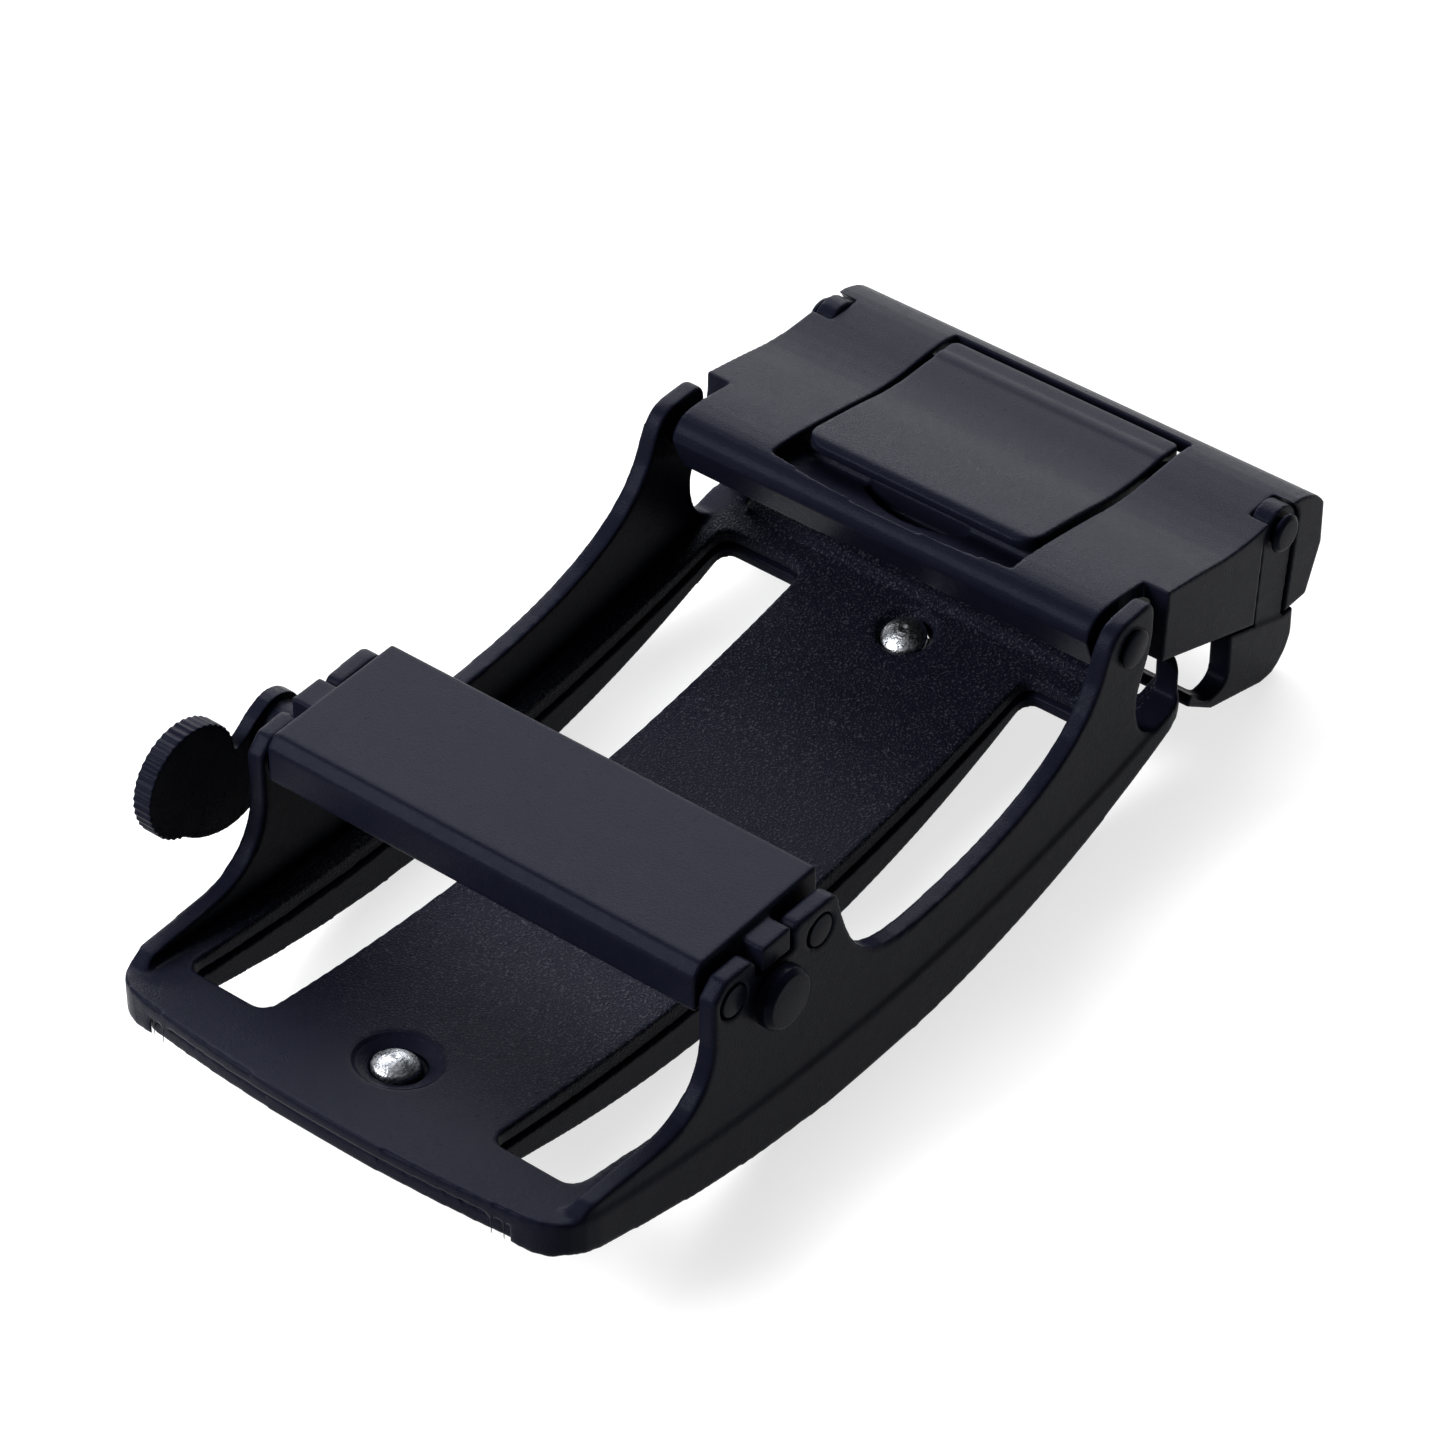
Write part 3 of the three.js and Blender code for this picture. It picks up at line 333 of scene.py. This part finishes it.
def prism(outline, low, high):
    """Closed body over a plan outline, between two heights worked out from x."""
    work = bmesh.new()
    lower = [work.verts.new((x, y, low(x))) for x, y in outline]
    upper = [work.verts.new((x, y, high(x))) for x, y in outline]
    work.faces.new(list(reversed(lower)))
    work.faces.new(upper)
    for i in range(len(outline)):
        j = (i + 1) % len(outline)
        work.faces.new((lower[i], lower[j], upper[j], upper[i]))
    bmesh.ops.recalc_face_normals(work, faces=work.faces)
    mesh = bpy.data.meshes.new("prism")
    work.to_mesh(mesh)
    work.free()
    return mesh


def added(piece, meshes):
    """Puts further closed bodies into the piece, for the remesh to join."""
    work = bmesh.new()
    work.from_mesh(piece.data)
    for mesh in meshes:
        work.from_mesh(mesh)
    work.to_mesh(piece.data)
    work.free()


def cut(piece, mesh):
    """Takes a closed body out of the piece."""
    cutter = bpy.data.objects.new("cutter", mesh)
    bpy.context.scene.collection.objects.link(cutter)
    boolean = piece.modifiers.new("cut", "BOOLEAN")
    boolean.operation = "DIFFERENCE"
    boolean.solver = "EXACT"
    boolean.object = cutter
    applied(piece)
    bpy.data.objects.remove(cutter)


def faired(mesh, rounding, fairing):
    """Rounds the edges by plain smoothing, then evens them out without shrinking."""
    count = len(mesh.vertices)
    places = numpy.empty(count * 3)
    mesh.vertices.foreach_get("co", places)
    places = places.reshape(-1, 3)
    ends = numpy.empty(len(mesh.edges) * 2, dtype=numpy.int64)
    mesh.edges.foreach_get("vertices", ends)
    one, other = ends.reshape(-1, 2).T
    degree = numpy.bincount(one, minlength=count) + numpy.bincount(other, minlength=count)
    for share in [0.5] * rounding + [0.5, -0.53] * fairing:
        for axis in range(3):
            line = places[:, axis]
            total = numpy.bincount(one, line[other], count) + numpy.bincount(other, line[one], count)
            places[:, axis] = line + share * (total / degree - line)
    mesh.vertices.foreach_set("co", places.reshape(-1))
    mesh.update()


def soft_edged(piece, node, material, slit=None):
    """Casting with its edges rounded over, and with its near end lowered where a slit is given."""
    voxel, rounding, keep = FINISH[node]
    remesh = piece.modifiers.new("remesh", "REMESH")
    remesh.mode = "VOXEL"
    remesh.voxel_size = voxel
    applied(piece)
    faired(piece.data, rounding, FAIRING)
    if slit is not None:
        lowered(piece, slit)
    decimate = piece.modifiers.new("decimate", "DECIMATE")
    decimate.ratio = keep
    applied(piece)
    piece.data.shade_smooth()
    return stands_for(piece, node, material)


def crisp(node, name, width, material, segments=3, angle=30):
    """Turned or stamped piece with a small even round on its edges."""
    piece = copied(node, name)
    work = bmesh.new()
    work.from_mesh(piece.data)
    bmesh.ops.dissolve_limit(work, angle_limit=math.radians(1), verts=work.verts, edges=work.edges)
    work.to_mesh(piece.data)
    work.free()
    piece.data.shade_smooth()
    bevel = piece.modifiers.new("bevel", "BEVEL")
    bevel.width = width
    bevel.segments = segments
    bevel.limit_method = "ANGLE"
    bevel.angle_limit = math.radians(angle)
    applied(piece)
    return stands_for(piece, node, material)


# Arcs of the frame's side view: front face, seat of the front plate, and floor
FRONT_ARC = 86
SEAT_RISE, SEAT_ARC = 3.2, 136.7
FLOOR_RISE, FLOOR_ARC = 4.7, 154.8


def front_at(x):
    return x * x / (2 * FRONT_ARC)


def seat_at(x):
    return SEAT_RISE + x * x / (2 * SEAT_ARC)


def floor_at(x):
    return FLOOR_RISE + x * x / (2 * FLOOR_ARC)


# The front plate's near corners are round, and the frame comes down beside them
NEAR_REACH = 31.8
NEAR_ARC = 107
CORNER_MIDDLE = Vector((-27.4, 15.9))
CORNER_RADIUS = 3.15
PLATE_CORNER = 4.6
PLATE_HALF = 17.8
PLATE_GAP = 0.2
EDGE_OVERLAP, SIDE_OVERLAP = 0.03, 0.1
FOOT_OVERLAP = 0.4
FOOT_CUT_OUT, FOOT_CUT_OVER = 2, 3
EDGE_STEPS, CORNER_STEPS = 8, 9


def near_edge(y):
    """Place of the frame's near edge along x, with its rounded corner."""
    past = max(0, abs(y) - CORNER_MIDDLE.y)
    if past == 0:
        return -NEAR_REACH + y * y / (2 * NEAR_ARC) + EDGE_OVERLAP
    return CORNER_MIDDLE.x - math.sqrt(CORNER_RADIUS ** 2 - past ** 2)


def corner_outline(side, outer, inner):
    """Plan between the near edge and the round corner of the front plate's seat."""
    start = PLATE_HALF - PLATE_CORNER
    ys = [start + (PLATE_HALF + SIDE_OVERLAP - start) * i / EDGE_STEPS for i in range(EDGE_STEPS + 1)]
    edge = [(near_edge(y) - outer, side * y) for y in ys]
    middle = (near_edge(start) + PLATE_CORNER, start)
    radius = PLATE_CORNER - inner
    across = PLATE_CORNER + SIDE_OVERLAP - inner
    turns = [math.radians(90 / CORNER_STEPS * i) for i in range(CORNER_STEPS + 1)]
    arc = [(middle[0] - radius * math.sin(t), side * (middle[1] + across * math.cos(t))) for t in turns]
    return edge + (arc if inner else arc[:-1])


def corner_feet(outer, inner, drop, rise):
    """Bodies of the two near corners beside the front plate."""
    return [prism(corner_outline(side, outer, inner), lambda x: front_at(x) - drop, lambda x: seat_at(x) + rise)
            for side in (-1, 1)]


# Rivets: a peened head in a turned seat with tool rings, both lying along the bowed floor
RIVET_PLACES = {"face_rivet_near": -24, "face_rivet_far": 29.4}
RINGED_RIVET = "face_rivet_near"
SEAT_SHIFT = 0.2
HEAD_PROFILE = [(0, 0.34), (0.14, 0.36), (0.26, 0.44), (0.5, 0.42), (0.62, 0.33), (0.84, 0.33), (0.96, 0.2),
                (1.18, 0.18), (1.28, 0.03), (1.44, -0.03), (1.56, -0.15), (1.62, -0.3), (1.62, -0.7)]
SHANK_PROFILE = [(1.5, -0.9), (1.5, -1.62), (2.2, -1.62), (2.2, -2.1), (0, -2.1)]
SEAT_PROFILE = [(1.86, -0.72), (2.02, -0.5), (2.16, -0.52), (2.3, -0.34), (2.46, -0.36), (2.62, -0.18),
                (2.78, -0.2), (2.96, -0.03), (3.06, 0.02), (3.16, -0.1), (1.95, -0.92)]
SEAT_ROOM = [(0, -0.8), (1.9, -0.8), (3.08, 0.04), (3.3, 1.5), (0, 1.5)]
TURNED_SIDES = 72
FINE_HEIGHT = -0.8


def turned(profile, x):
    """Turned body on the bowed floor at x: what lies above FINE_HEIGHT follows the floor's slope."""
    work = bmesh.new()
    slope = x / FLOOR_ARC
    rings = []
    for radius, height in profile:
        sides = TURNED_SIDES if radius else 1
        turns = [2 * math.pi * i / sides for i in range(sides)]
        lean = slope if height >= FINE_HEIGHT else 0
        rings.append([work.verts.new((x + radius * math.cos(t), radius * math.sin(t),
                                      floor_at(x) + height + lean * radius * math.cos(t))) for t in turns])
    closed = profile[0][0] and profile[-1][0]
    pairs = list(zip(rings, rings[1:] + rings[:1])) if closed else list(zip(rings, rings[1:]))
    for one, other in pairs:
        for i in range(TURNED_SIDES):
            j = (i + 1) % TURNED_SIDES
            corners = [one[i % len(one)], one[j % len(one)], other[j % len(other)], other[i % len(other)]]
            work.faces.new(list(dict.fromkeys(corners)))
    bmesh.ops.recalc_face_normals(work, faces=work.faces)
    mesh = bpy.data.meshes.new("turned")
    work.to_mesh(mesh)
    work.free()
    return mesh


def turned_piece(name, profile, node, material, shift=0):
    """Piece of a turned body at the rivet's place."""
    mesh = turned(profile, RIVET_PLACES[node] + shift)
    mesh.shade_smooth()
    piece = bpy.data.objects.new(name, mesh)
    bpy.context.scene.collection.objects.link(piece)
    return placed(piece, node, material)


# The near end hangs a little lower than a plain arc, with a fine gap over the front plate
NEAR_DROP = 0.7
NEAR_DROP_FROM = -20
PLATE_SLIT = 0.22
SEAT_MARGIN = 0.05

# The frame's far edge is turned up, which closes the view under the cover
FAR_LIP = [(32.4, 16.2), (34.1, 16.2), (34.1, -16.2), (32.4, -16.2)]
FAR_LIP_RISE = 0.7
FAR_LIP_ROOT = 1


def lowered(piece, slit):
    """Stretches the underside at the near end, and opens the slit over it."""
    for vertex in piece.data.vertices:
        x, y, z = vertex.co
        share = max(0, (NEAR_DROP_FROM - x) / (NEAR_REACH + NEAR_DROP_FROM)) ** 2
        depth = (seat_at(x) - z) / (seat_at(x) - front_at(x))
        if depth > -SEAT_MARGIN:
            vertex.co.z -= NEAR_DROP * share * min(1, max(0, depth)) + slit * share


cast_frame = copied("frame", "cast_frame")
added(cast_frame, corner_feet(0, 0, 0, FOOT_OVERLAP))
added(cast_frame, [prism(FAR_LIP, lambda x: floor_at(x) - FAR_LIP_ROOT, lambda x: floor_at(x) + FAR_LIP_RISE)])
cut(cast_frame, turned(SEAT_ROOM, RIVET_PLACES[RINGED_RIVET] + SEAT_SHIFT))
soft_edged(cast_frame, "frame", sandy, 0)

turned_piece("ringed_seat", SEAT_PROFILE, RINGED_RIVET, satin, SEAT_SHIFT)
for rivet in RIVET_PLACES:
    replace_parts(turned_piece(rivet + "_peened", HEAD_PROFILE + SHANK_PROFILE, rivet, bright), rivet)

front_plate = copied("face_plate", "front_plate")
for foot in corner_feet(FOOT_CUT_OUT, PLATE_GAP, FOOT_CUT_OVER, FOOT_CUT_OVER):
    cut(front_plate, foot)
soft_edged(front_plate, "face_plate", satin, PLATE_SLIT)

# Nail scoop under the paddle: a ledge that falls away from the cover's near lip
LEDGE_NEAR, LEDGE_FAR = 26.7, 31.8
LEDGE_HALF = 10.25
LEDGE_TOP = 18.55
LEDGE_FALL, LEDGE_CURVE = 1.5, 0.8
LEDGE_THICKNESS = 0.7
SCOOP_HALF = 4.1
SCOOP_FROM, SCOOP_BOW = 30.3, 1.5
SCOOP_DEPTH, SCOOP_STEP = 1.2, 0.35
SCOOP_ROOM = 1.3
LEDGE_CLOSES, LEDGE_CLOSE_TOP, LEDGE_CLOSE_RUN = 30.95, 17.75, 0.3
LEDGE_STEPS = (26, 60)


def ledge_height(x, y):
    """Height of the ledge, with the smile-shaped scoop at the paddle's edge."""
    share = min(1, max(0, (x - LEDGE_NEAR) / (LEDGE_FAR - LEDGE_NEAR)))
    height = LEDGE_TOP - LEDGE_FALL * share ** LEDGE_CURVE
    across = y / SCOOP_HALF
    if abs(across) < 1:
        past = x - (SCOOP_FROM - SCOOP_BOW * (1 - across * across))
        height -= SCOOP_DEPTH * min(1, max(0, past / SCOOP_STEP))
    if x > LEDGE_CLOSES:
        height += (LEDGE_CLOSE_TOP - height) * min(1, (x - LEDGE_CLOSES) / LEDGE_CLOSE_RUN)
    return height


def ledge_underside(x, y):
    """Height of the ledge's underside, clear of the scoop's walls."""
    share = min(1, max(0, (x - LEDGE_NEAR) / (LEDGE_FAR - LEDGE_NEAR)))
    height = LEDGE_TOP - LEDGE_FALL * share ** LEDGE_CURVE - LEDGE_THICKNESS
    past = x - (SCOOP_FROM - SCOOP_BOW * SCOOP_ROOM)
    if abs(y) < SCOOP_HALF * SCOOP_ROOM:
        height -= SCOOP_DEPTH * min(1, max(0, past / SCOOP_STEP))
    return height


def ledge():
    """Closed slab of the ledge."""
    work = bmesh.new()
    many_x, many_y = LEDGE_STEPS
    layers = []
    for height_at in (ledge_height, ledge_underside):
        layer = []
        for i in range(many_x + 1):
            x = LEDGE_NEAR + (LEDGE_FAR - LEDGE_NEAR) * i / many_x
            ys = [LEDGE_HALF * (2 * j / many_y - 1) for j in range(many_y + 1)]
            layer.append([work.verts.new((x, y, height_at(x, y))) for y in ys])
        layers.append(layer)
    top, low = layers
    for i in range(many_x):
        for j in range(many_y):
            work.faces.new((top[i][j], top[i + 1][j], top[i + 1][j + 1], top[i][j + 1]))
            work.faces.new((low[i][j + 1], low[i + 1][j + 1], low[i + 1][j], low[i][j]))
    rim = [(i, 0) for i in range(many_x)] + [(many_x, j) for j in range(many_y)]
    rim += [(many_x - i, many_y) for i in range(many_x)] + [(0, many_y - j) for j in range(many_y)]
    for (a, b), (c, d) in zip(rim, rim[1:] + rim[:1]):
        work.faces.new((top[c][d], top[a][b], low[a][b], low[c][d]))
    bmesh.ops.recalc_face_normals(work, faces=work.faces)
    mesh = bpy.data.meshes.new("ledge")
    work.to_mesh(mesh)
    work.free()
    return mesh


# The paddle's near corners are round in plan
PADDLE_CORNER = 1.7
CUT_MARGIN = 1
CUT_REACH = 60
PADDLE_STEPS = 10


def paddle_corners(mesh):
    """Bodies outside the two round corners of the paddle's near edge."""
    near = min(vertex.co.x for vertex in mesh.vertices)
    half = max(abs(vertex.co.y) for vertex in mesh.vertices if vertex.co.x < near + PADDLE_CORNER)
    turns = [math.radians(90 / PADDLE_STEPS * i) for i in range(PADDLE_STEPS + 1)]
    arc = [(near + PADDLE_CORNER * (1 - math.cos(t)), half - PADDLE_CORNER * (1 - math.sin(t))) for t in turns]
    bodies = []
    for side in (-1, 1):
        outline = [(x, side * y) for x, y in arc]
        outline += [(near + PADDLE_CORNER, side * (half + CUT_MARGIN)),
                    (near - CUT_MARGIN, side * (half + CUT_MARGIN)),
                    (near - CUT_MARGIN, side * (half - PADDLE_CORNER))]
        bodies.append(prism(outline, lambda x: -CUT_REACH, lambda x: CUT_REACH))
    return bodies


cover_shell = copied("clamp_cover", "cover_shell")
added(cover_shell, [ledge()])
soft_edged(cover_shell, "clamp_cover", satin)
soft_edged(copied("clamp_base", "base_and_keeper"), "clamp_base", satin)
soft_edged(copied("lock_bridge", "bar"), "lock_bridge", satin)
paddle = copied("cam_lever", "paddle")
for corner in paddle_corners(paddle.data):
    cut(paddle, corner)
soft_edged(paddle, "cam_lever", satin)
soft_edged(copied("release_lever", "thumb_lever"), "release_lever", satin)

for pin in ("bridge_pin_near", "bridge_pin_far", "release_shaft", "swivel_pin_left", "swivel_pin_right", "cam_pin"):
    crisp(pin, pin + "_turned", PIN_EDGE, glossy_black, PIN_SEGMENTS)
crisp("lock_pawl", "pawl_plate", PAWL_EDGE, glossy_black)

# The leaf spring flattens against the bar's ceiling as the pawl lifts; here it only gets a mesh of its own
spring_leaf = crisp("pawl_spring", "spring_leaf", SPRING_EDGE, spring_metal, 1)
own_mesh(spring_leaf)


# Stage

FLOOR_RADIUS = 2.4
BACKDROP_HEIGHT = 0.45
BACKDROP_ROUND = 0.4
FLOOR_SIDES = 96
FLOOR_TONE = 0.38
FLOOR_GLOW = 0.72
WORLD_STRENGTH = 0.3


def seen_directly(tree, strength):
    """That strength for camera, glossy and transmission rays, and none for the rest."""
    path = tree.nodes.new("ShaderNodeLightPath")
    total = path.outputs["Is Camera Ray"]
    for ray in ("Is Glossy Ray", "Is Transmission Ray"):
        join = tree.nodes.new("ShaderNodeMath")
        join.operation = "MAXIMUM"
        tree.links.new(total, join.inputs[0])
        tree.links.new(path.outputs[ray], join.inputs[1])
        total = join.outputs[0]
    scale = tree.nodes.new("ShaderNodeMath")
    scale.operation = "MULTIPLY"
    scale.inputs[1].default_value = strength
    tree.links.new(total, scale.inputs[0])
    return scale.outputs[0]


def make_floor():
    """White table that sweeps up into a backdrop: keeps the part's shadow, reads as white to camera and metal."""
    work = bmesh.new()
    bends = [math.radians(15 * i) for i in range(7)]
    profile = [(FLOOR_RADIUS + BACKDROP_ROUND * math.sin(t), BACKDROP_ROUND * (1 - math.cos(t))) for t in bends]
    profile.append((FLOOR_RADIUS + BACKDROP_ROUND, BACKDROP_HEIGHT))
    turns = [2 * math.pi * i / FLOOR_SIDES for i in range(FLOOR_SIDES)]
    rings = [[work.verts.new((r * math.cos(t), r * math.sin(t), z)) for t in turns] for r, z in profile]
    work.faces.new(rings[0])
    for one, other in zip(rings, rings[1:]):
        for i in range(FLOOR_SIDES):
            j = (i + 1) % FLOOR_SIDES
            work.faces.new((one[i], other[i], other[j], one[j]))
    mesh = bpy.data.meshes.new("table")
    work.to_mesh(mesh)
    work.free()
    floor = bpy.data.objects.new("table", mesh)
    bpy.context.scene.collection.objects.link(floor)
    material, tree, surface = new_material("white_table")
    surface.inputs["Base Color"].default_value = (FLOOR_TONE, FLOOR_TONE, FLOOR_TONE, 1)
    surface.inputs["Roughness"].default_value = 1
    surface.inputs["Specular IOR Level"].default_value = 0
    surface.inputs["Emission Color"].default_value = (1, 1, 1, 1)
    tree.links.new(seen_directly(tree, FLOOR_GLOW), surface.inputs["Emission Strength"])
    mesh.materials.append(material)


def make_world():
    """Even grey surroundings above the set."""
    world = bpy.data.worlds.new("studio")
    world.use_nodes = True
    bpy.context.scene.world = world
    background = world.node_tree.nodes["Background"]
    background.inputs["Color"].default_value = (1, 1, 1, 1)
    background.inputs["Strength"].default_value = WORLD_STRENGTH


def direction(azimuth, elevation):
    """Unit vector from the part to that side, azimuth 0 being -Y, and +X at 90 degrees."""
    turn = math.radians(azimuth)
    rise = math.radians(elevation)
    return Vector((math.sin(turn) * math.cos(rise), -math.cos(turn) * math.cos(rise), math.sin(rise)))


def softbox(name, azimuth, elevation, distance, size, watts):
    """Soft light that faces the part."""
    data = bpy.data.lights.new(name, "AREA")
    data.shape = "RECTANGLE"
    data.size, data.size_y = size
    data.energy = watts
    light = bpy.data.objects.new(name, data)
    bpy.context.scene.collection.objects.link(light)
    away = direction(azimuth, elevation)
    light.matrix_world = Matrix.Translation(away * distance) @ (-away).to_track_quat("-Z", "Y").to_matrix().to_4x4()


# Lights: name, azimuth, elevation, distance, size and power
SOFTBOXES = [
    ("back_softbox", 128.5, 39, 0.9, (1.0, 0.42), 15),
    ("low_strip", 128.5, 9, 0.9, (1.2, 0.12), 6),
    ("left_softbox", -126, 37, 0.35, (0.16, 0.16), 1.8),
]

# Black cards around the photographer, which the camera looks past
CARD_DISTANCE = 0.75
CARD_FROM, CARD_TO = -135, 62
CARD_FOOT, CARD_TOP = 1, 62
CARD_TONE = 0.03
CARD_STEPS = 12


def black_cards():
    """Curved dark card on the camera's side, so that the near faces stay dark."""
    rows = []
    for rise in (CARD_FOOT, CARD_TOP / 2, CARD_TOP):
        turns = [CARD_FROM + (CARD_TO - CARD_FROM) * i / CARD_STEPS for i in range(CARD_STEPS + 1)]
        rows.append([direction(turn, rise) * CARD_DISTANCE for turn in turns])
    points = [point for row in rows for point in row]
    wide = CARD_STEPS + 1
    faces = [(r * wide + i, r * wide + i + 1, (r + 1) * wide + i + 1, (r + 1) * wide + i)
             for r in range(len(rows) - 1) for i in range(CARD_STEPS)]
    mesh = bpy.data.meshes.new("black_card")
    mesh.from_pydata(points, [], faces)
    card = bpy.data.objects.new("black_card", mesh)
    bpy.context.scene.collection.objects.link(card)
    card.visible_camera = False
    material, tree, surface = new_material("black_card")
    surface.inputs["Base Color"].default_value = (CARD_TONE, CARD_TONE, CARD_TONE, 1)
    surface.inputs["Roughness"].default_value = 1
    surface.inputs["Specular IOR Level"].default_value = 0
    mesh.materials.append(material)


make_camera()
make_floor()
make_world()
black_cards()
for softbox_row in SOFTBOXES:
    softbox(*softbox_row)
